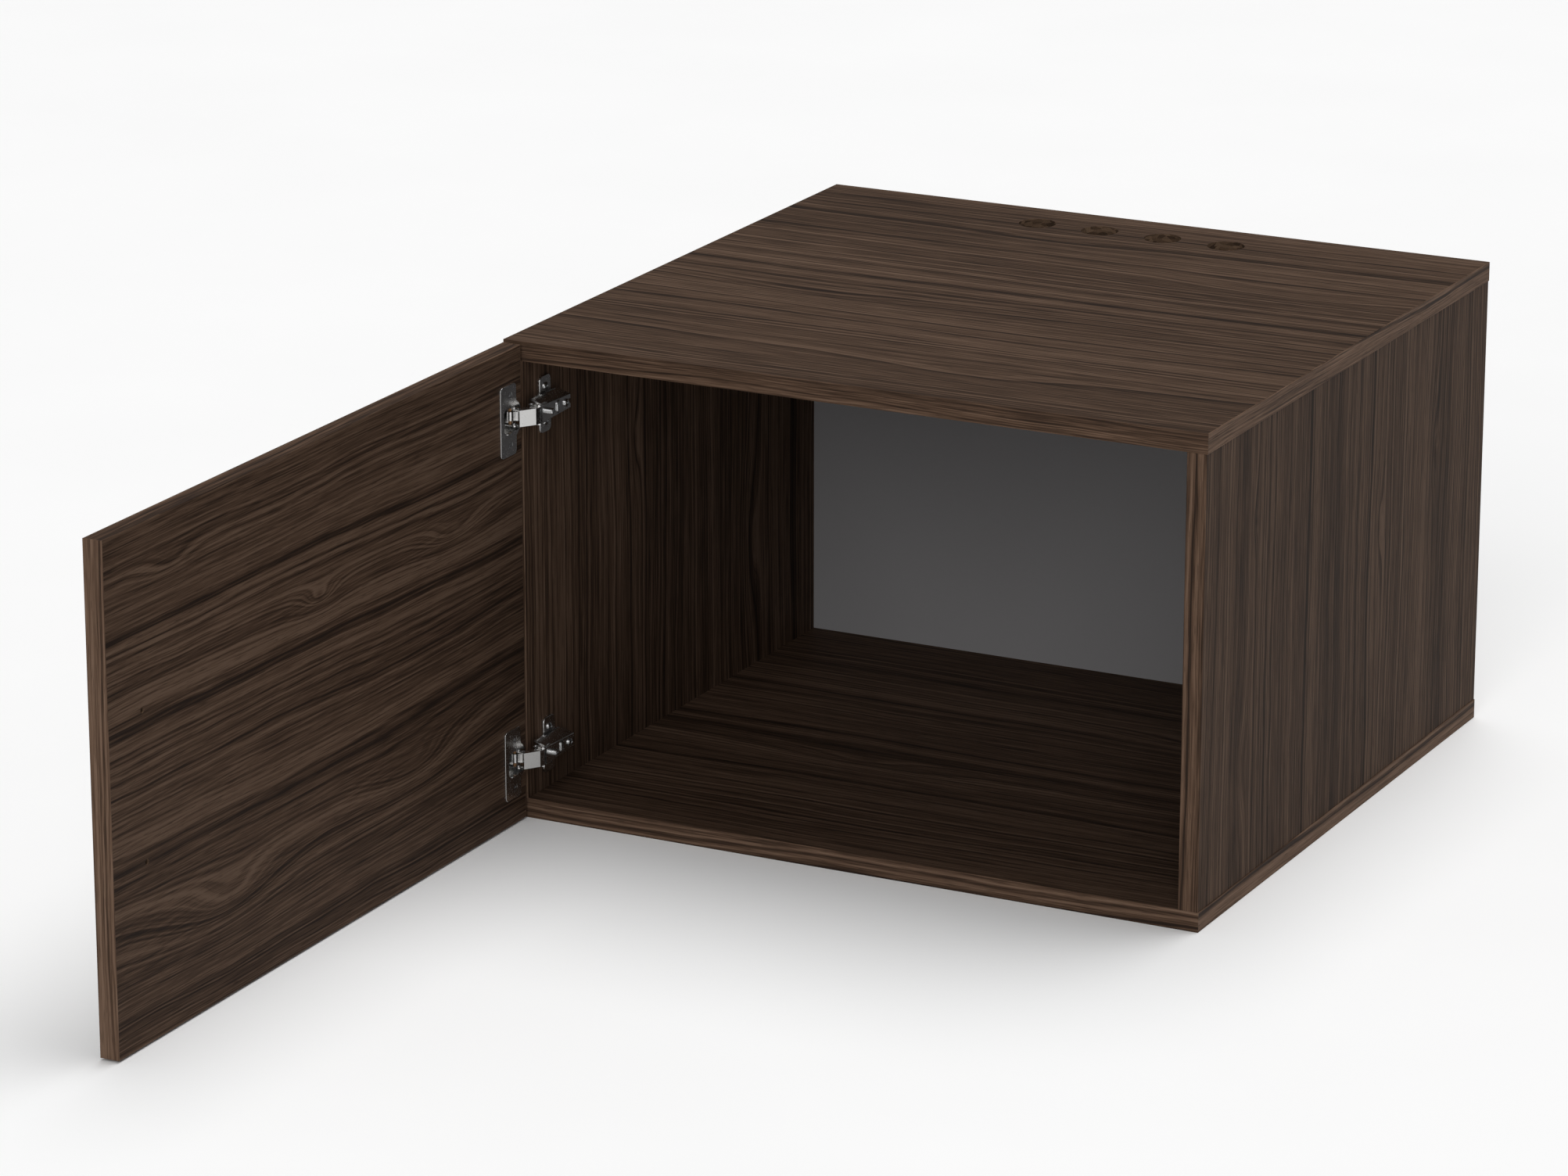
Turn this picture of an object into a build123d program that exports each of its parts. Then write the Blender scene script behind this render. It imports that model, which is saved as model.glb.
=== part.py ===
from build123d import *
import math
import os

# A wide storage box with one side-hung door on two concealed cup hinges.
# Millimetres. X is to the right, Y is to the back and Z is up. The origin is the
# centre of the underside. The door is drawn standing open at a right angle.

# Carcass
width = 670.0
depth = 650.0
height = 440.0
board = 18.0
band = 0.8  # edge banding on every visible board edge
back_thickness = 3.0
back_inset = 84.0  # rear edge of the carcass to the front face of the back panel
groove_depth = 6.0
groove_slack = 0.1
vent_radius = 17.5
vent_pitch = 64.0
vent_count = 4
vent_from_rear = 55.0
dowel_radius = 4.0
dowel_length = 34.0
dowel_hole_in_face = 12.0
dowel_hole_in_end = 24.0
dowel_rows = (60.0, 325.0, 590.0)  # from the front edge

# Door
reveal = 2.0  # how far the door stays inside the carcass outline when closed
door_gap = 2.5  # closed door to carcass
open_face = 19.2  # left side of the carcass to the inner face of the open door
open_edge = 3.5  # carcass front to the hinge edge of the open door
handle_pitch = 128.0
handle_hole_radius = 2.5
handle_from_free_edge = 50.0
hinge_heights = {"lower": 59.0, "upper": 375.0}

# Hinge, seen from above. Places are measured from the carcass's front left corner.
link_to_arm = (34.0, 2.0)  # pivot of the outer link in the arm
inner_to_arm = (26.0, 2.5)  # pivot of the inner link in the arm
inner_to_cup = (13.0, -12.5)  # pin for the inner link in the cup, door open
inner_bends = ((19.6, -10.3), (23.2, -7.5))  # the inner link goes round the cup's rim
crank = 7.8  # pole of the closing turn to the outer link's pivot in the cup
cup_radius = 17.4
cup_depth = 12.4
cup_from_edge = 20.5
cup_wall = 0.8
flange_width = 27.5
flange_height = 64.5
rim_radius = 18.4  # the flange is straight on one side of the rim and round on the other
flange_thickness = 1.6
cup_screw_pitch = 45.0
ear = 1.2  # sheet of the arm and the lugs
link_sheet = 1.0
pin_fit = 0.05
thick_pin = 1.25
thin_pin = 1.0
plate_screw_pitch = 32.0
plate_from_front = 37.0

# Derived places
left = -width / 2
right = width / 2
front = -depth / 2
rear = depth / 2
board_front = front + band
board_depth = depth - band
board_width = width - 2 * band
side_height = height - 2 * board
side_inner = width / 2 - band - board
side_middle = width / 2 - band - board / 2
middle_y = (board_front + rear) / 2
groove_width = back_thickness + 2 * groove_slack
back_y = rear - back_inset + back_thickness / 2
door_width = width - 2 * reveal
door_height = height - 2 * reveal
door_face = left + open_face
door_middle = door_face - board / 2
door_hinge_edge = front - open_edge
door_free_edge = door_hinge_edge - door_width
cup_x = door_face - cup_depth
cup_y = door_hinge_edge - cup_from_edge
plate_x = left + band + board
plate_y = front + plate_from_front

# The closing turn is a quarter turn about one pole. Both link pivots of the outer
# link lie so that its length is the same with the door open and with it closed.
closed_shift = (reveal - open_edge, -door_gap - open_face)
pole = ((closed_shift[0] - closed_shift[1]) / 2, (closed_shift[0] + closed_shift[1]) / 2)
pole_angle = math.atan2(link_to_arm[1] - pole[1], link_to_arm[0] - pole[0]) - math.pi / 4
link_to_cup = (pole[0] + crank * math.cos(pole_angle), pole[1] + crank * math.sin(pole_angle))
link_length = math.dist(link_to_arm, link_to_cup)
link_turn = 2 * math.degrees(math.asin(math.sqrt(2) * crank / 2 / link_length))
print("outer link pivots", [round(v, 3) for v in link_to_cup + link_to_arm])
print("outer link length", round(link_length, 3), "turn", round(link_turn, 4))

os.makedirs("parts", exist_ok=True)


def save(builder, name):
    builder.part.label = name
    export_step(builder.part, f"parts/{name}.step")


def at(point, z=0.0):
    """A place given from the carcass's front left corner, in the model's frame."""
    return (left + point[0], front + point[1], z)


def seen_from_above(origin, towards, z):
    """A sketch plane at height z with its local X from one plan point to another."""
    direction = (towards[0] - origin[0], towards[1] - origin[1], 0)
    return Plane(origin=at(origin, z), x_dir=direction, z_dir=(0, 0, 1))


# Carcass boards

dowel_ys = [front + row for row in dowel_rows]
corner_dowels = [(sx * side_middle, y) for sx in (-1, 1) for y in dowel_ys]

with BuildPart() as top_panel:
    with Locations((0, middle_y, height - board / 2)):
        Box(board_width, board_depth, board)
    with Locations((0, rear - vent_from_rear, height)):
        with GridLocations(vent_pitch, 1, vent_count, 1):
            Hole(vent_radius, depth=board)
    with Locations((0, back_y, height - board + groove_depth / 2)):
        Box(2 * side_inner, groove_width, groove_depth, mode=Mode.SUBTRACT)
    with Locations([(x, y, height - board + dowel_hole_in_face / 2) for x, y in corner_dowels]):
        Cylinder(dowel_radius, dowel_hole_in_face, mode=Mode.SUBTRACT)
save(top_panel, "top_panel")

with BuildPart() as bottom_panel:
    with Locations((0, middle_y, board / 2)):
        Box(board_width, board_depth, board)
    with Locations((0, back_y, board - groove_depth / 2)):
        Box(2 * side_inner, groove_width, groove_depth, mode=Mode.SUBTRACT)
    with Locations([(x, y, board - dowel_hole_in_face / 2) for x, y in corner_dowels]):
        Cylinder(dowel_radius, dowel_hole_in_face, mode=Mode.SUBTRACT)
save(bottom_panel, "bottom_panel")

plate_screw_radius = 2.5
plate_screw_length = 12.0
for side, name in ((-1, "left_side_panel"), (1, "right_side_panel")):
    with BuildPart() as side_panel:
        with Locations((side * side_middle, middle_y, height / 2)):
            Box(board, board_depth, side_height)
        with Locations((side * (side_inner + groove_depth / 2), back_y, height / 2)):
            Box(groove_depth, groove_width, side_height, mode=Mode.SUBTRACT)
        for end_z in (board + dowel_hole_in_end / 2, height - board - dowel_hole_in_end / 2):
            with Locations([(side * side_middle, y, end_z) for y in dowel_ys]):
                Cylinder(dowel_radius, dowel_hole_in_end, mode=Mode.SUBTRACT)
        if side < 0:
            for z in hinge_heights.values():
                with BuildSketch(Plane.YZ.offset(plate_x)):
                    with Locations((plate_y, z)):
                        with GridLocations(1, plate_screw_pitch, 1, 2):
                            Circle(plate_screw_radius + pin_fit)
                extrude(amount=-plate_screw_length - 1, mode=Mode.SUBTRACT)
    save(side_panel, name)

with BuildPart() as back_panel:
    reach = groove_depth - 0.5
    with Locations((0, back_y, height / 2)):
        Box(2 * (side_inner + reach), back_thickness, side_height + 2 * reach)
    # the panel's corners are notched where the side boards' grooves end
    notch_x = side_inner + reach / 2
    notch_z = (side_height + reach) / 2
    with Locations([(sx * notch_x, back_y, height / 2 + sz * notch_z)
                    for sx in (-1, 1) for sz in (-1, 1)]):
        Box(reach + 0.2, back_thickness, reach + 0.2, mode=Mode.SUBTRACT)
save(back_panel, "back_panel")

# Glued dowels, one group for each corner of the carcass
for level, face_z, sign in (("top", height - board, -1), ("bottom", board, 1)):
    for side, word in ((-1, "left"), (1, "right")):
        with BuildPart() as dowels:
            middle = face_z + sign * (dowel_hole_in_end - dowel_hole_in_face) / 2
            with Locations([(side * side_middle, y, middle) for y in dowel_ys]):
                Cylinder(dowel_radius, dowel_length)
            chamfer(dowels.edges().filter_by(GeomType.CIRCLE), 0.8)
        save(dowels, f"{level}_{word}_dowels")

# Edge banding of the carcass
for level, z in (("top", height - board / 2), ("bottom", board / 2)):
    with BuildPart() as front_band:
        with Locations((0, front + band / 2, z)):
            Box(width, band, board)
        chamfer(front_band.edges().filter_by(Axis.X).group_by(Axis.Y)[0], 0.3)
    save(front_band, f"{level}_front_band")
    for side, word in ((-1, "left"), (1, "right")):
        with BuildPart() as end_band:
            with Locations((side * (width - band) / 2, middle_y, z)):
                Box(band, board_depth, board)
            outer_edges = end_band.edges().filter_by(Axis.Y).group_by(Axis.X)[0 if side < 0 else -1]
            chamfer(outer_edges, 0.3)
        save(end_band, f"{level}_{word}_band")

for side, word in ((-1, "left"), (1, "right")):
    with BuildPart() as side_band:
        with Locations((side * side_middle, front + band / 2, height / 2)):
            Box(board, band, side_height)
        chamfer(side_band.edges().filter_by(Axis.Z).group_by(Axis.Y)[0], 0.3)
    save(side_band, f"{word}_side_front_band")

# Door

core_width = door_width - 2 * band
core_height = door_height - 2 * band
door_middle_y = (door_hinge_edge + door_free_edge) / 2
cup_screw_radius = 1.75
cup_screw_length = 13.0
cup_screw_y = cup_y - 2.0
recess_slack = 0.1

with BuildPart() as door_panel:
    with Locations((door_middle, door_middle_y, height / 2)):
        Box(board, core_width, core_height)
    with BuildSketch(Plane.YZ.offset(door_face)):
        with Locations((door_free_edge + handle_from_free_edge, height / 2)):
            with GridLocations(1, handle_pitch, 1, 2):
                Circle(handle_hole_radius)
    extrude(amount=-board, mode=Mode.SUBTRACT)
    for z in hinge_heights.values():
        with BuildSketch(Plane.YZ.offset(door_face)):
            with Locations((cup_y, z)):
                Circle(cup_radius + recess_slack)
        extrude(amount=-cup_depth - recess_slack, mode=Mode.SUBTRACT)
        with BuildSketch(Plane.YZ.offset(door_face)):
            with Locations((cup_screw_y, z)):
                with GridLocations(1, cup_screw_pitch, 1, 2):
                    Circle(cup_screw_radius + pin_fit)
        extrude(amount=-cup_screw_length, mode=Mode.SUBTRACT)
save(door_panel, "door_panel")

for y, name in ((door_free_edge + band / 2, "door_free_edge_band"),
                (door_hinge_edge - band / 2, "door_hinge_edge_band")):
    with BuildPart() as upright_band:
        with Locations((door_middle, y, height / 2)):
            Box(board, band, door_height)
        outside = -1 if y > door_middle_y else 0
        chamfer(upright_band.edges().filter_by(Axis.Z).group_by(Axis.Y)[outside], 0.3)
    save(upright_band, name)

for z, name in ((height - reveal - band / 2, "door_top_band"), (reveal + band / 2, "door_bottom_band")):
    with BuildPart() as level_band:
        with Locations((door_middle, door_middle_y, z)):
            Box(board, core_width, band)
        outside = -1 if z > height / 2 else 0
        chamfer(level_band.edges().filter_by(Axis.Y).group_by(Axis.Z)[outside], 0.3)
    save(level_band, name)

# Hinges

opening_half = 11.2  # half height of the flange's opening
opening_y = cup_y + 1.3
opening_length = 28.2
lug_inside = 7.6  # half the space between the cup's lugs, and between the arm's ears
link_half = 7.4
inner_half = 4.0
eye_bore = 2.45  # the inner link's eye hangs loose on its pin in the cup
web_bends = ((2.9, 8.6), (18.5, 5.4), (link_length, 2.6))  # outer face, along and off the pivot line
web_inner = ((3.1, 7.6), (18.0, 4.5), (link_length, 1.6))
arm_face = left + 35.3
arm_front = front + 5.6
arm_rear = front + 56.0
plate_base = 2.0
spine_top = arm_face - ear
screw_ys = {"side": front + 17.0, "depth": front + 34.0, "clamp": front + 48.0}


def phillips(x, y, z, size=3.6, depth_of_cross=1.3):
    """Cut a cross recess into a screw head that faces +X at x."""
    with Locations((x - depth_of_cross / 2, y, z)):
        Box(depth_of_cross, size, 0.9, mode=Mode.SUBTRACT)
        Box(depth_of_cross, 0.9, size, mode=Mode.SUBTRACT)


def screw_along_x(head_top, y, z, head_radius, head_height, shank_radius, shank_length, dome=0.0):
    """A screw driven towards -X: a cone or domed head with a straight shank."""
    neck = head_top - head_height
    with BuildSketch(Plane(origin=(0, y, z), x_dir=(1, 0, 0), z_dir=(0, -1, 0))) as profile:
        with BuildLine():
            if dome:
                arc_start = (head_top, 0)
                arc_end = (head_top - dome, head_radius)
                ThreePointArc(arc_start, (head_top - dome * 0.27, head_radius * 0.52), arc_end)
                Line(arc_end, (neck, head_radius))
                Line((neck, head_radius), (neck, shank_radius))
            else:
                Line((head_top, 0), (head_top, head_radius))
                Line((head_top, head_radius), (neck, shank_radius))
            Line((neck, shank_radius), (neck - shank_length + 1, shank_radius))
            Line((neck - shank_length + 1, shank_radius), (neck - shank_length, 0))
            Line((neck - shank_length, 0), (head_top, 0))
        make_face()
    revolve(profile.sketch, axis=Axis((0, y, z), (1, 0, 0)))
    phillips(head_top, y, z, size=head_radius * 1.15)


for level, z in hinge_heights.items():
    prefix = f"{level}_hinge_"

    # Steel cup let into the door, with its screw flange and two lugs for the pins
    with BuildPart() as cup:
        with BuildSketch(Plane.YZ.offset(cup_x)):
            with Locations((cup_y, z)):
                Circle(cup_radius)
        extrude(amount=cup_depth)
        with BuildSketch(Plane.YZ.offset(door_face)):
            with Locations((cup_y - rim_radius + flange_width / 2, z)):
                RectangleRounded(flange_width, flange_height, 4)
            with Locations((cup_y, z)):
                Circle(rim_radius)
        extrude(amount=flange_thickness)
        outer_rim = cup.faces().filter_by(Axis.X).sort_by(Axis.X)[-1].edges()
        fillet(outer_rim, 0.4)
        with BuildSketch(Plane.YZ.offset(cup_x + cup_wall)):
            with Locations((cup_y, z)):
                Circle(cup_radius - cup_wall)
        extrude(amount=cup_depth - cup_wall, mode=Mode.SUBTRACT)
        with BuildSketch(Plane.YZ.offset(door_face)):
            with Locations((opening_y, z)):
                RectangleRounded(opening_length, 2 * opening_half, 5)
        extrude(amount=flange_thickness, mode=Mode.SUBTRACT)
        # notch in the rim, which the links swing through
        with Locations((door_face, cup_y + 17, z)):
            Box(2 * flange_thickness + 2, 8, 2 * link_half + 1, mode=Mode.SUBTRACT)
        with BuildSketch(Plane.YZ.offset(door_face)):
            with Locations((cup_screw_y, z)):
                with GridLocations(1, cup_screw_pitch, 1, 2):
                    Circle(cup_screw_radius + 0.4)
        extrude(amount=flange_thickness, mode=Mode.SUBTRACT)
        with Locations([Location((door_face + flange_thickness, cup_screw_y, z + dz), (0, 90, 0))
                        for dz in (-cup_screw_pitch / 2, cup_screw_pitch / 2)]):
            with Locations((0, 0, -flange_thickness / 2)):
                Cone(2.2, 3.5, flange_thickness, mode=Mode.SUBTRACT)
        # lugs
        for sign in (-1, 1):
            start = z + lug_inside if sign > 0 else z - lug_inside - ear
            with BuildSketch(Plane.XY.offset(start)):
                with Locations(at(link_to_cup)[:2]):
                    Circle(2.1)
                with Locations((cup_x + cup_wall / 2 + 4.7, front - 13.1)):
                    Rectangle(9.4, 4.8)
            extrude(amount=ear)
        # lip below the opening
        with Locations((door_face + 1.6, cup_y - 2.8, z - opening_half - 0.4)):
            Box(2.0, 9.5, 0.8)
        with Locations(at(link_to_cup, z)):
            Cylinder(thick_pin, 2 * lug_inside + 2 * ear + 2, mode=Mode.SUBTRACT)
        with Locations(at(inner_to_cup, z)):
            Cylinder(thin_pin, 2 * lug_inside + 2 * ear + 0.6, mode=Mode.SUBTRACT)
    save(cup, prefix + "cup")

    with BuildPart() as cup_screws:
        for dz in (-cup_screw_pitch / 2, cup_screw_pitch / 2):
            screw_along_x(door_face + flange_thickness, cup_screw_y, z + dz, 3.3, flange_thickness,
                          cup_screw_radius, cup_screw_length - 1.5)
    save(cup_screws, prefix + "cup_screws")

    with BuildPart() as cup_pins:
        stub = lug_inside + ear + 0.4 - 6.0
        with Locations([at(link_to_cup, z + s * (6.0 + stub / 2)) for s in (-1, 1)]):
            Cylinder(thick_pin, stub)
        with Locations(at(inner_to_cup, z)):
            Cylinder(thin_pin, 2 * lug_inside + 2 * ear + 0.6)
    save(cup_pins, prefix + "cup_pins")

    # Rollers either side of the inner link's eye, which the snap action works on
    with BuildPart() as rollers:
        with Locations([at(inner_to_cup, z + s * 5.9) for s in (-1, 1)]):
            Cylinder(1.8, 3.0)
            Cylinder(thin_pin + pin_fit, 3.0, mode=Mode.SUBTRACT)
    save(rollers, prefix + "rollers")

    # Outer link: a channel whose flanges carry both pivots
    with BuildPart() as outer_link:
        for sign in (-1, 1):
            start = z + link_half - link_sheet if sign > 0 else z - link_half
            with BuildSketch(seen_from_above(link_to_cup, link_to_arm, start)):
                with BuildLine():
                    Polyline((0, 2.2), (3.5, 0.9), (link_length - 5, 0.9), (link_length, 2.3),
                             (link_length + 1.7, 1.5), (link_length + 2.3, 0), (link_length + 1.6, -1.6),
                             *[(along, -off) for along, off in reversed(web_bends)], (-0.6, -2.1), close=True)
                make_face()
                Circle(2.2)
                with Locations((link_length, 0)):
                    Circle(2.3)
            extrude(amount=link_sheet)
        with BuildSketch(seen_from_above(link_to_cup, link_to_arm, z - link_half)):
            with BuildLine():
                Polyline([(along, -off) for along, off in web_bends + web_inner[::-1]], close=True)
            make_face()
        extrude(amount=2 * link_half)
        with Locations(at(link_to_cup, z), at(link_to_arm, z)):
            Cylinder(thick_pin + pin_fit, 2 * link_half + 2, mode=Mode.SUBTRACT)
    save(outer_link, prefix + "outer_link")

    # Inner link: a bar with a snug knuckle at the arm and a loose eye at the cup
    with BuildPart() as inner_link:
        with BuildSketch(Plane.XY.offset(z - inner_half)):
            with BuildLine() as bar_line:
                Polyline([at(point)[:2] for point in (inner_to_cup, *inner_bends, inner_to_arm)])
            trace(line_width=1.6)
            with Locations(at(inner_to_cup)[:2]):
                Circle(3.1)
            with Locations(at(inner_to_arm)[:2]):
                Circle(2.2)
                Circle(thin_pin + pin_fit, mode=Mode.SUBTRACT)
            with Locations(at(inner_to_cup)[:2]):
                Circle(eye_bore, mode=Mode.SUBTRACT)
        extrude(amount=2 * inner_half)
    save(inner_link, prefix + "inner_link")

    # Arm: a tapering trough with two ears at its front for the link pins
    with BuildPart() as arm:
        for y, web, skirt in ((arm_front, 8.2, 12.4), (arm_rear, 6.4, 10.0)):
            with BuildSketch(Plane(origin=(0, y, z), x_dir=(1, 0, 0), z_dir=(0, -1, 0))):
                with BuildLine():
                    Polyline((arm_face, -web), (arm_face, web), (arm_face - 11.6, skirt),
                             (arm_face - 12.8, skirt), (arm_face - 12.8, skirt - 1.3),
                             (arm_face - ear, web - 0.9), (arm_face - ear, 0.9 - web),
                             (arm_face - 12.8, 1.3 - skirt), (arm_face - 12.8, -skirt),
                             (arm_face - 11.6, -skirt), close=True)
                make_face()
        loft(ruled=True)
        web_edges = arm.edges().group_by(Axis.X)[-1]
        fillet(web_edges.filter_by(lambda e: abs(e.tangent_at(0.5).Y) > 0.9), 1.0)
        for sign in (-1, 1):
            start = z + lug_inside if sign > 0 else z - lug_inside - ear
            with BuildSketch(seen_from_above(link_to_arm, inner_to_arm, start)):
                Circle(2.4)
                with Locations((math.dist(link_to_arm, inner_to_arm), 0)):
                    Circle(2.3)
                with Locations((math.dist(link_to_arm, inner_to_arm) / 2, 0)):
                    Rectangle(math.dist(link_to_arm, inner_to_arm), 4.4)
            with BuildSketch(Plane.XY.offset(start)):
                with BuildLine():
                    Polyline(at((25.0, 4.4))[:2], at((27.0, 0.6))[:2], at((34.0, 0.0))[:2],
                             at((36.2, 2.6))[:2], at((35.0, 6.0))[:2], at((35.0, 14.5))[:2],
                             at((31.0, 14.5))[:2], close=True)
                make_face()
            extrude(amount=ear)
        with Locations(at(link_to_arm, z)):
            Cylinder(thick_pin, 2 * lug_inside + 2 * ear + 2, mode=Mode.SUBTRACT)
        with Locations(at(inner_to_arm, z)):
            Cylinder(thin_pin, 2 * lug_inside + 2 * ear + 2, mode=Mode.SUBTRACT)
        # holes for the side screw and the depth cam, and an open slot for the clamp screw
        with BuildSketch(Plane.YZ.offset(spine_top - 0.5)):
            with Locations((screw_ys["side"], z)):
                Circle(2.6)
            with Locations((screw_ys["depth"], z)):
                SlotOverall(11.6, 8.0, rotation=90)
            with Locations((screw_ys["clamp"], z)):
                Circle(2.4)
            with Locations((screw_ys["clamp"] + 6, z)):
                Rectangle(12, 4.2)
        extrude(amount=ear + 1.0, mode=Mode.SUBTRACT)
    save(arm, prefix + "arm")

    with BuildPart() as arm_pins:
        with Locations(at(link_to_arm, z)):
            Cylinder(thick_pin, 2 * lug_inside + 2 * ear + 1.0)
        with Locations(at(inner_to_arm, z)):
            Cylinder(thin_pin, 2 * lug_inside + 2 * ear + 1.0)
    save(arm_pins, prefix + "arm_pins")

    # Leaf spring under the arm's web, which presses the inner link towards closed
    with BuildPart() as leaf_spring:
        with BuildSketch(Plane.XY.offset(z - 3.5)):
            with BuildLine():
                Polyline(at((27.9, 4.0))[:2], at((29.0, 4.0))[:2], at((31.6, 12.0))[:2],
                         at((33.2, 20.6))[:2], at((34.0, 20.6))[:2], at((34.0, 22.2))[:2],
                         at((32.4, 22.2))[:2], at((30.7, 12.6))[:2], close=True)
            make_face()
        extrude(amount=7.0)
        with BuildSketch(Plane.YZ.offset(left + 28)):
            with Locations((screw_ys["side"], z)):
                Circle(2.4)
        extrude(amount=8, mode=Mode.SUBTRACT)
    save(leaf_spring, prefix + "leaf_spring")

    # Cross-shaped mounting plate with a spine that the arm is clamped on
    with BuildPart() as mounting_plate:
        with BuildSketch(Plane.YZ.offset(plate_x)):
            with Locations((plate_y, z)):
                RectangleRounded(20, 52, 5)
            with Locations((plate_y + 1.0, z)):
                RectangleRounded(38, 21, 4)
        extrude(amount=plate_base)
        plate_rim = mounting_plate.faces().filter_by(Axis.X).sort_by(Axis.X)[-1].edges()
        fillet(plate_rim, 0.6)
        with Locations((( plate_x + plate_base + spine_top) / 2, front + 38.5, z)):
            Box(spine_top - plate_x - plate_base, 31, 11)
        chamfer(mounting_plate.edges().filter_by(Axis.Y).group_by(Axis.X)[-1], 1.0)
        with BuildSketch(Plane.YZ.offset(plate_x)):
            with Locations((plate_y, z)):
                with GridLocations(1, plate_screw_pitch, 1, 2):
                    Circle(plate_screw_radius + 0.3)
        extrude(amount=plate_base, mode=Mode.SUBTRACT)
        with BuildSketch(Plane.YZ.offset(spine_top)):
            with Locations((screw_ys["depth"], z), (screw_ys["clamp"], z)):
                Circle(1.8 + pin_fit)
        extrude(amount=-9, mode=Mode.SUBTRACT)
    save(mounting_plate, prefix + "mounting_plate")

    with BuildPart() as plate_screws:
        for dz in (-plate_screw_pitch / 2, plate_screw_pitch / 2):
            screw_along_x(plate_x + plate_base + 2.2, plate_y, z + dz, 3.7, 2.2,
                          plate_screw_radius, plate_base + plate_screw_length, dome=1.4)
    save(plate_screws, prefix + "plate_screws")

    # Side screw: a threaded grub screw with a plain round end, standing out of the arm
    with BuildPart() as side_screw:
        with BuildSketch(Plane.YZ.offset(arm_face - 4.0)):
            with Locations((screw_ys["side"], z)):
                Circle(2.2)
        extrude(amount=4.0 + 5.0)
        with BuildSketch(Plane.YZ.offset(arm_face)):
            with Locations((screw_ys["side"], z)):
                Circle(3.0)
        extrude(amount=5.0)
        head_end = side_screw.faces().filter_by(Axis.X).sort_by(Axis.X)[-1]
        chamfer(head_end.edges(), 0.5)
        phillips(arm_face + 5.0, screw_ys["side"], z, size=3.4)
    save(side_screw, prefix + "side_screw")

    # Depth cam: an oval head in the arm's slot, turned by its screwdriver slot
    with BuildPart() as depth_screw:
        with BuildSketch(Plane.YZ.offset(spine_top)):
            with Locations((screw_ys["depth"], z)):
                SlotOverall(11.0, 7.4, rotation=90)
        extrude(amount=ear + 1.2)
        cam_end = depth_screw.faces().filter_by(Axis.X).sort_by(Axis.X)[-1]
        chamfer(cam_end.edges(), 0.5)
        with BuildSketch(Plane.YZ.offset(spine_top)):
            with Locations((screw_ys["depth"], z)):
                Circle(1.8)
        extrude(amount=-8)
        with Locations((arm_face + 0.8, screw_ys["depth"], z)):
            Box(0.9, 1.1, 7.0, mode=Mode.SUBTRACT)
    save(depth_screw, prefix + "depth_screw")

    with BuildPart() as clamp_screw:
        screw_along_x(arm_face + 2.4, screw_ys["clamp"], z, 3.5, 2.4, 1.8, ear + 8, dome=1.2)
    save(clamp_screw, prefix + "clamp_screw")
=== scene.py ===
import math

import bpy
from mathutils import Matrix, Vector

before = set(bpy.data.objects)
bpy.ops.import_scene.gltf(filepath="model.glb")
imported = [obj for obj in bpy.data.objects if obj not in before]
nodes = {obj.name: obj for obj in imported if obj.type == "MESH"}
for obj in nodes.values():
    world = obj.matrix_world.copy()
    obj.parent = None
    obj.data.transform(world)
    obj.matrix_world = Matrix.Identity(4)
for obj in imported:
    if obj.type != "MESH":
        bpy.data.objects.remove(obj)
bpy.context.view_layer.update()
print("frame loaded:", len(nodes), "nodes")

axisNumber = {"X": 0, "Y": 1, "Z": 2}


# a small wrapper, so that shader sums read as sums

class Wire:
    # an output socket that can be used in sums; the sum adds its own Math nodes
    def __init__(self, look, socket):
        self.look = look
        self.socket = socket

    def maths(self, operation, first, second=0.0):
        return self.look.node("Math", {"operation": operation}, {0: first, 1: second})

    def __add__(self, other): return self.maths("ADD", self, other)
    def __radd__(self, other): return self.maths("ADD", other, self)
    def __sub__(self, other): return self.maths("SUBTRACT", self, other)
    def __rsub__(self, other): return self.maths("SUBTRACT", other, self)
    def __mul__(self, other): return self.maths("MULTIPLY", self, other)
    def __rmul__(self, other): return self.maths("MULTIPLY", other, self)
    def __truediv__(self, other): return self.maths("DIVIDE", self, other)
    def __rtruediv__(self, other): return self.maths("DIVIDE", other, self)
    def __pow__(self, other): return self.maths("POWER", self, other)
    def __gt__(self, other): return self.maths("GREATER_THAN", self, other)
    def __lt__(self, other): return self.maths("LESS_THAN", self, other)
    def __abs__(self): return self.maths("ABSOLUTE", self)


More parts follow.
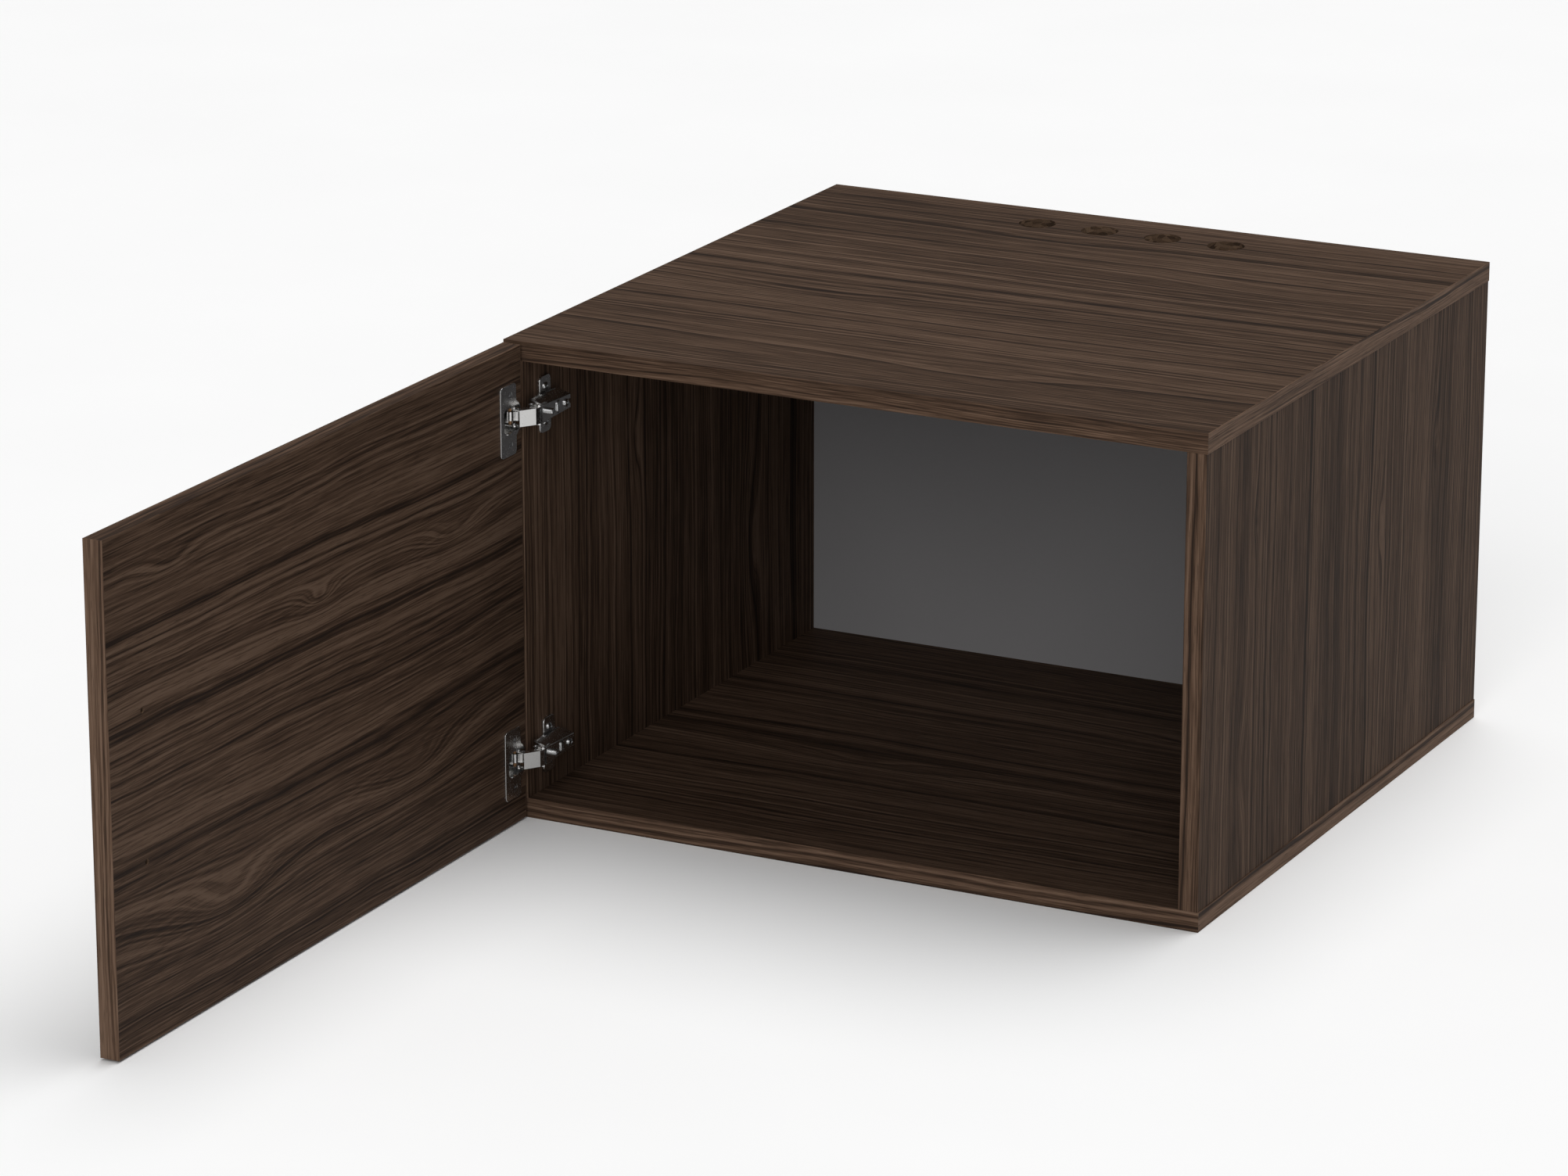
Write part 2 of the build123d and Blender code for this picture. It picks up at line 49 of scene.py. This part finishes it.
class Look:
    # one procedural finish: a Principled shader and whatever feeds it
    def __init__(self, name, **sockets):
        self.material = bpy.data.materials.new(name)
        self.material.use_nodes = True
        self.tree = self.material.node_tree
        self.tree.nodes.clear()
        self.shader = self.tree.nodes.new("ShaderNodeBsdfPrincipled")
        output = self.tree.nodes.new("ShaderNodeOutputMaterial")
        self.tree.links.new(self.shader.outputs["BSDF"], output.inputs["Surface"])
        self.shade(**sockets)

    def plug(self, socket, value):
        if isinstance(value, Wire):
            self.tree.links.new(value.socket, socket)
        elif socket.type == "RGBA" and len(value) == 3:
            socket.default_value = (*value, 1.0)
        else:
            socket.default_value = value

    def node(self, kind, settings=None, inputs=None, output=0):
        made = self.tree.nodes.new("ShaderNode" + kind)
        for key, value in (settings or {}).items():
            if key == "stops":
                ramp = made.color_ramp
                while len(ramp.elements) < len(value):
                    ramp.elements.new(0.5)
                for element, (place, colour) in zip(ramp.elements, value):
                    element.position = place
                    element.color = (*colour, 1.0)
            else:
                setattr(made, key, value)
        for key, value in (inputs or {}).items():
            self.plug(made.inputs[key], value)
        return Wire(self, made.outputs[output])

    def shade(self, **sockets):
        names = {"colour": "Base Color", "roughness": "Roughness", "metallic": "Metallic",
                 "normal": "Normal", "ior": "IOR", "shine": "Specular IOR Level"}
        for key, value in sockets.items():
            self.plug(self.shader.inputs[names[key]], value)

    def place(self):
        # the three object coordinates, in metres
        coords = self.node("TexCoord", output="Object")
        return [self.node("SeparateXYZ", None, {0: coords}, output=axis) for axis in "XYZ"]

    def facing(self, axis):
        # 1 on faces square to the axis, 0 on the others
        normal = self.node("TexCoord", output="Normal")
        return abs(self.node("SeparateXYZ", None, {0: normal}, output=axis)) > 0.7

    def vector(self, x, y, z):
        return self.node("CombineXYZ", None, {0: x, 1: y, 2: z})

    def noise(self, x, y, z, detail=2.0, rough=0.5):
        return self.node("TexNoise", {"noise_dimensions": "3D"},
                         {"Vector": self.vector(x, y, z), "Scale": 1.0, "Detail": detail, "Roughness": rough})

    def noiseAlong(self, w, detail=2.0, rough=0.5):
        return self.node("TexNoise", {"noise_dimensions": "1D"},
                         {"W": w, "Scale": 1.0, "Detail": detail, "Roughness": rough})

    def ramp(self, value, stops):
        return self.node("ValToRGB", {"stops": stops}, {"Fac": value})

    def level(self, value, low, high, toLow=0.0, toHigh=1.0):
        return self.node("MapRange", {"clamp": True, "interpolation_type": "SMOOTHSTEP"},
                         {"Value": value, "From Min": low, "From Max": high, "To Min": toLow, "To Max": toHigh})

    def blend(self, factor, first, second, way="MIX"):
        return self.node("Mix", {"data_type": "RGBA", "blend_type": way}, {0: factor, 6: first, 7: second}, output=2)

    def bump(self, height, distance, strength=1.0):
        return self.node("Bump", None, {"Height": height, "Distance": distance, "Strength": strength})


def dress(name, look):
    # a CAD node keeps its mesh and only takes a finish
    slots = nodes[name].data.materials
    if not slots:
        slots.append(look.material)
    for i in range(len(slots)):
        slots[i] = look.material


# printed walnut on the boards and their edge strips

walnut = {
    "dark": (0.0180, 0.0115, 0.0085),
    "deep": (0.0380, 0.0228, 0.0150),
    "body": (0.0630, 0.0380, 0.0250),
    "light": (0.0890, 0.0550, 0.0368),
    "pale": (0.1180, 0.0760, 0.0525),
    "warp": 0.046,  # metres that the growth lines wander
    "ripple": 0.009,  # metres that they tremble
    "knotFalloff": 1.4,
    "poreDepth": 0.45,
    "wideBands": 58.0,  # lines in a metre across the grain, as for the next three
    "fineLines": 270.0,
    "fibres": 640.0,
    "pores": 1150.0,
    "weights": {"wide": 0.56, "fine": 1.0, "zones": 0.50, "fibre": 0.95},
    "toneShift": 1.005,
    "lineDepth": 0.14,  # how much the narrow growth lines darken
    "roughness": 0.56,
    "shine": 0.04,
    "stripPaintedLight": 1.42,  # painted light: how much paler the edge strips are printed than the boards, standing in for how brightly the edges are lit
}


def walnutFigure(look, grain, across, through, seed, knots, paintedLight=1.0):
    # returns the colour, roughness and height of the printed grain
    xyz = look.place()
    g, c, t = (xyz[axisNumber[a]] for a in (grain, across, through))
    g = g + seed * 1.7
    c = c + seed * 0.61
    slow = look.noise(g * 1.3, c * 4.2, t * 4.2, detail=2.0)
    ripple = look.noise(g * 6.0, c * 17.0, t * 17.0, detail=2.0, rough=0.55)
    rings = c + (slow - 0.5) * walnut["warp"] + (ripple - 0.5) * walnut["ripple"]
    eyes = 0.0
    for along, over, length, breadth, push, heart in knots:
        dg = (g - (along + seed * 1.7)) / length
        dc = (c - (over + seed * 0.61)) / breadth
        near = 1.0 / (1.0 + dg * dg + dc * dc) ** walnut["knotFalloff"]
        rings = rings + near * push
        if heart:
            core = 1.0 / (1.0 + (dg * dg * 16.0 + dc * dc * 9.0)) ** 2.0
            eyes = core * heart + eyes
    wide = look.noiseAlong(rings * walnut["wideBands"], detail=3.0, rough=0.62)
    fine = look.noiseAlong(rings * walnut["fineLines"], detail=3.0, rough=0.6)
    zones = look.noise(g * 1.1, c * 7.0 + rings * 9.0, t * 4.0, detail=1.5)
    fibre = look.noise(g * 16.0, c * walnut["fibres"], t * walnut["fibres"], detail=2.5, rough=0.6)
    pores = look.noise(g * 55.0, c * walnut["pores"], t * walnut["pores"], detail=1.0)
    poreMask = look.level(pores, 0.60, 0.72)
    share = walnut["weights"]
    tone = wide * share["wide"] + fine * share["fine"] + zones * share["zones"] + fibre * share["fibre"]
    tone = tone - walnut["toneShift"]
    lines = look.level(wide, 0.28, 0.40, walnut["lineDepth"], 0.0)
    tone = tone - lines - eyes
    colour = look.ramp(tone, [(0.20, walnut["dark"]), (0.36, walnut["deep"]), (0.50, walnut["body"]),
                              (0.63, walnut["light"]), (0.80, walnut["pale"])])
    colour = look.blend(poreMask * walnut["poreDepth"], colour, walnut["dark"])
    # painted light: the print is scaled paler or darker per board and for the edge strips, standing in for how light
    # falls on each face
    if paintedLight != 1.0:
        colour = look.blend(1.0, colour, (paintedLight, paintedLight, paintedLight), way="MULTIPLY")
    roughness = walnut["roughness"] + (fibre - 0.5) * 0.12 + poreMask * 0.08
    height = fine * 0.35 + fibre * 0.3 - poreMask * 0.8
    return colour, roughness, height


chipboard = {
    "chips": 210.0,  # chips in a metre, before they are flattened
    "light": (0.150, 0.098, 0.064),
    "mid": (0.085, 0.054, 0.035),
    "dark": (0.034, 0.022, 0.015),
}


def chipboardCore(look):
    # pressed chips as a saw leaves them
    x, y, z = look.place()
    warp = look.noise(x * 60.0, y * 60.0, z * 60.0) * 0.9
    flat = look.vector(x * 0.55 + warp * 0.004, y * 0.55, z * 1.7)
    chips = look.node("TexVoronoi", {"feature": "F1"}, {"Vector": flat, "Scale": chipboard["chips"]}, output="Color")
    tone = look.node("SeparateXYZ", None, {0: chips}, output="X")
    dust = look.noise(x * 900.0, y * 900.0, z * 900.0, detail=2.0)
    tone = tone * 0.75 + dust * 0.25
    colour = look.ramp(tone, [(0.05, chipboard["dark"]), (0.40, chipboard["mid"]), (0.85, chipboard["light"])])
    return colour, tone


def walnutBoard(name, grain, across, through, seed, knots, paintedLight):
    # foil on the two broad faces, bare core on every cut edge
    look = Look("walnutBoard_" + name, ior=1.46, shine=walnut["shine"])
    colour, roughness, height = walnutFigure(look, grain, across, through, seed, knots, paintedLight)
    core, coreTone = chipboardCore(look)
    foil = look.facing(through)
    bump = look.bump(foil * height * 0.25 + (1.0 - foil) * coreTone * 3.0, 0.00012, 0.6)
    look.shade(colour=look.blend(foil, core, colour), roughness=foil * roughness + (1.0 - foil) * 0.88, normal=bump)
    return look


def walnutStrip(name, grain, across, through, seed):
    # edge strip: the same figure, printed paler; the extra paleness is painted light, standing in for how the edges
    # are lit
    look = Look("walnutStrip_" + name, ior=1.46, shine=walnut["shine"])
    colour, roughness, height = walnutFigure(look, grain, across, through, seed, (), walnut["stripPaintedLight"])
    look.shade(colour=colour, roughness=roughness - 0.03, normal=look.bump(height * 0.25, 0.00012, 0.6))
    return look


# knots: place along the grain and across it, length, breadth, how far the lines bend round it, dark heart
doorKnots = [
    (-0.672, 0.302, 0.036, 0.012, 0.016, 0.22),
    (-0.820, 0.085, 0.110, 0.030, 0.036, 0.0),
    (-0.520, 0.105, 0.130, 0.030, 0.034, 0.0),
    (-0.455, 0.300, 0.060, 0.016, 0.018, 0.08),
    (-0.900, 0.395, 0.050, 0.014, 0.014, 0.06),
]
topKnots = [
    (0.080, -0.245, 0.120, 0.022, 0.026, 0.0),
    (-0.160, -0.060, 0.130, 0.022, 0.020, 0.06),
    (0.220, 0.130, 0.120, 0.022, 0.024, 0.0),
    (-0.060, 0.220, 0.090, 0.018, 0.018, 0.08),
]
bottomKnots = [(-0.090, -0.100, 0.120, 0.022, 0.024, 0.08), (0.180, 0.080, 0.120, 0.022, 0.022, 0.0)]
rightKnots = [
    (0.335, -0.215, 0.024, 0.007, 0.008, 0.26),
    (0.255, 0.070, 0.050, 0.012, 0.014, 0.20),
    (0.290, 0.200, 0.050, 0.010, 0.012, 0.16),
    (0.120, -0.240, 0.080, 0.018, 0.018, 0.08),
]
leftKnots = [(0.300, -0.120, 0.050, 0.012, 0.014, 0.16), (0.140, 0.110, 0.090, 0.018, 0.020, 0.08)]

# the last number of each board is painted light: its print is made paler or darker to stand in for how brightly that
# side is lit
boards = {
    "top_panel": ("X", "Y", "Z", 0.37, topKnots, 1.0),
    "bottom_panel": ("X", "Y", "Z", 2.13, bottomKnots, 0.92),
    "left_side_panel": ("Z", "Y", "X", 3.41, leftKnots, 1.12),
    "right_side_panel": ("Z", "Y", "X", 5.29, rightKnots, 0.86),
    "door_panel": ("Y", "Z", "X", 7.77, doorKnots, 0.94),
}
strips = {
    "top_front_band": ("X", "Z", "Y", 0.83),
    "bottom_front_band": ("X", "Z", "Y", 1.57),
    "top_left_band": ("Y", "Z", "X", 2.71),
    "top_right_band": ("Y", "Z", "X", 3.19),
    "bottom_left_band": ("Y", "Z", "X", 4.43),
    "bottom_right_band": ("Y", "Z", "X", 5.87),
    "left_side_front_band": ("Z", "X", "Y", 6.11),
    "right_side_front_band": ("Z", "X", "Y", 6.97),
    "door_free_edge_band": ("Z", "X", "Y", 8.39),
    "door_hinge_edge_band": ("Z", "X", "Y", 9.03),
    "door_top_band": ("Y", "X", "Z", 9.71),
    "door_bottom_band": ("Y", "X", "Z", 10.37),
}
for name, settings in boards.items():
    dress(name, walnutBoard(name, *settings))
for name, settings in strips.items():
    dress(name, walnutStrip(name, *settings))
print("walnut boards and strips dressed")


# back panel: grey lacquer in front, bare hardboard behind

backBoard = {"paint": (0.290, 0.283, 0.288), "fibre": (0.24, 0.155, 0.09), "fibreDark": (0.12, 0.075, 0.045)}


def greyBack():
    look = Look("greyBack", ior=1.45)
    x, y, z = look.place()
    orangePeel = look.noise(x * 420.0, y * 420.0, z * 420.0, detail=2.0)
    cloud = look.noise(x * 5.0, y * 5.0, z * 5.0, detail=3.0)
    paint = look.blend(1.0, backBoard["paint"], look.ramp(cloud * 0.7 + orangePeel * 0.3,
                       [(0.25, (0.93, 0.93, 0.93)), (0.75, (1.0, 1.0, 1.0))]), way="MULTIPLY")
    flakes = look.noise(x * 260.0, y * 260.0, z * 260.0, detail=4.0, rough=0.7)
    fibre = look.ramp(flakes, [(0.35, backBoard["fibreDark"]), (0.65, backBoard["fibre"])])
    normal = look.node("SeparateXYZ", None, {0: look.node("TexCoord", output="Normal")}, output="Y")
    front = normal < -0.5
    look.shade(colour=look.blend(front, fibre, paint),
               roughness=front * (orangePeel * 0.10 + 0.42) + (1.0 - front) * 0.85,
               normal=look.bump(orangePeel * 0.4 + (1.0 - front) * flakes, 0.00008, 0.5))
    return look


dress("back_panel", greyBack())


# dowels

def beech():
    look = Look("beechDowel", ior=1.45)
    x, y, z = look.place()
    streak = look.noise(x * 500.0, y * 500.0, z * 20.0, detail=3.0)
    fleck = look.level(look.noise(x * 900.0, y * 900.0, z * 130.0), 0.60, 0.70)
    colour = look.ramp(streak, [(0.3, (0.42, 0.27, 0.15)), (0.7, (0.60, 0.43, 0.27))])
    look.shade(colour=look.blend(fleck * 0.5, colour, (0.30, 0.18, 0.10)), roughness=streak * 0.2 + 0.6,
               normal=look.bump(streak, 0.0001, 0.6))
    return look


beechLook = beech()
for corner in ("top_left", "top_right", "bottom_left", "bottom_right"):
    dress(corner + "_dowels", beechLook)
print("back panel and dowels dressed")


# hinge metals

metals = {
    "nickel": {"colour": (0.66, 0.655, 0.645), "roughness": 0.25,
               "stroke": "Z", "strokeDepth": 0.0000015, "stain": 0.06},
    "zinc": {"colour": (0.62, 0.625, 0.63), "roughness": 0.24,
             "stroke": "X", "strokeDepth": 0.0000015, "stain": 0.10},
    "spring": {"colour": (0.34, 0.33, 0.32), "roughness": 0.34,
               "stroke": "Z", "strokeDepth": 0.000002, "stain": 0.18},
    "bronze": {"colour": (0.33, 0.185, 0.095), "roughness": 0.36,
               "stroke": "Z", "strokeDepth": 0.000002, "stain": 0.22},
}
plating = {"along": 60.0, "across": 2200.0, "cloud": 190.0, "spots": 700.0}  # marks in a metre


def metalFinish(name):
    # plated sheet: fine strokes along one axis, cloudy plating and a few rubbed spots
    values = metals[name]
    look = Look(name + "Metal", metallic=1.0)
    xyz = look.place()
    scaled = [c * plating["along" if a == values["stroke"] else "across"] for a, c in zip("XYZ", xyz)]
    stroke = look.noise(*scaled, detail=2.0)
    cloud = look.noise(*[c * plating["cloud"] for c in xyz], detail=3.0, rough=0.6)
    spots = look.level(look.noise(*[c * plating["spots"] for c in xyz], detail=1.0), 0.66, 0.74)
    tint = look.ramp(cloud, [(0.3, (1.0 - values["stain"],) * 3), (0.7, (1.0, 1.0, 1.0))])
    colour = look.blend(1.0, values["colour"], tint, way="MULTIPLY")
    roughness = values["roughness"] + (stroke - 0.5) * 0.08 + (cloud - 0.5) * 0.08 + spots * 0.05
    look.shade(colour=colour, roughness=roughness, normal=look.bump(stroke, values["strokeDepth"], 0.5))
    return look


nickel, zinc, springSteel, bronze = (metalFinish(name) for name in ("nickel", "zinc", "spring", "bronze"))
hingeFinish = {
    "cup": nickel, "cup_screws": zinc, "cup_pins": zinc, "rollers": bronze, "outer_link": nickel,
    "inner_link": nickel, "arm": nickel, "arm_pins": zinc, "leaf_spring": springSteel,
    "mounting_plate": nickel, "plate_screws": zinc, "side_screw": zinc, "depth_screw": zinc, "clamp_screw": zinc,
}
for level in ("upper", "lower"):
    for piece, look in hingeFinish.items():
        dress(f"{level}_hinge_{piece}", look)
print("hinges dressed")


# studio

studio = {
    "floorSize": 14.0, "floorColour": (0.95, 0.95, 0.95), "sky": (1.0, 1.0, 1.0), "skyStrength": 0.20,
    "keyTurn": 14.0, "keyHeight": 30.0, "keySpread": 40.0, "keyStrength": 1.25,  # from the front, a little right
    "topTurn": 160.0, "topHeight": 72.0, "topSpread": 50.0, "topStrength": 2.15,  # from above and behind
    "lampDistance": 4.0,
}
camera = {"place": (2.2641, -4.8690, 1.8349), "turn": 27.081, "tilt": 17.243, "lens": 141.99,
          "sensor": 36.0, "farClip": 60.0}

bpy.ops.object.select_all(action="DESELECT")
bpy.ops.mesh.primitive_plane_add(size=studio["floorSize"], location=(0, 0, 0))
floor = bpy.context.object
floor.name = "studio_floor"
floorLook = Look("paleFloor", ior=1.45)
fx, fy, fz = floorLook.place()
mottle = floorLook.noise(fx * 3.0, fy * 3.0, fz, detail=3.0)
low, high = [tuple(v * s for v in studio["floorColour"]) for s in (0.985, 1.0)]
floorLook.shade(colour=floorLook.ramp(mottle, [(0.3, low), (0.7, high)]), roughness=0.7)
floor.data.materials.append(floorLook.material)


def softLight(name):
    # a broad far lamp, so that it falls evenly over the floor
    data = bpy.data.lights.new(name, "SUN")
    data.angle = math.radians(studio[name + "Spread"])
    data.energy = studio[name + "Strength"]
    lamp = bpy.data.objects.new(name, data)
    turn, height = math.radians(studio[name + "Turn"]), math.radians(studio[name + "Height"])
    away = Vector((math.sin(turn) * math.cos(height), -math.cos(turn) * math.cos(height), math.sin(height)))
    lamp.location = away * studio["lampDistance"]
    lamp.rotation_euler = (-away).to_track_quat("-Z", "Y").to_euler()
    bpy.context.scene.collection.objects.link(lamp)


softLight("key")
softLight("top")

world = bpy.data.worlds.new("paleRoom")
world.use_nodes = True
background = world.node_tree.nodes["Background"]
background.inputs["Color"].default_value = (*studio["sky"], 1.0)
background.inputs["Strength"].default_value = studio["skyStrength"]
bpy.context.scene.world = world
bpy.context.scene.view_settings.view_transform = "Standard"

lensData = bpy.data.cameras.new("camera")
lensData.lens = camera["lens"]
lensData.sensor_width = camera["sensor"]
lensData.clip_end = camera["farClip"]
viewer = bpy.data.objects.new("camera", lensData)
viewer.location = camera["place"]
viewer.rotation_euler = (math.radians(90.0 - camera["tilt"]), 0.0, math.radians(camera["turn"]))
bpy.context.scene.collection.objects.link(viewer)
bpy.context.scene.camera = viewer
print("studio ready")
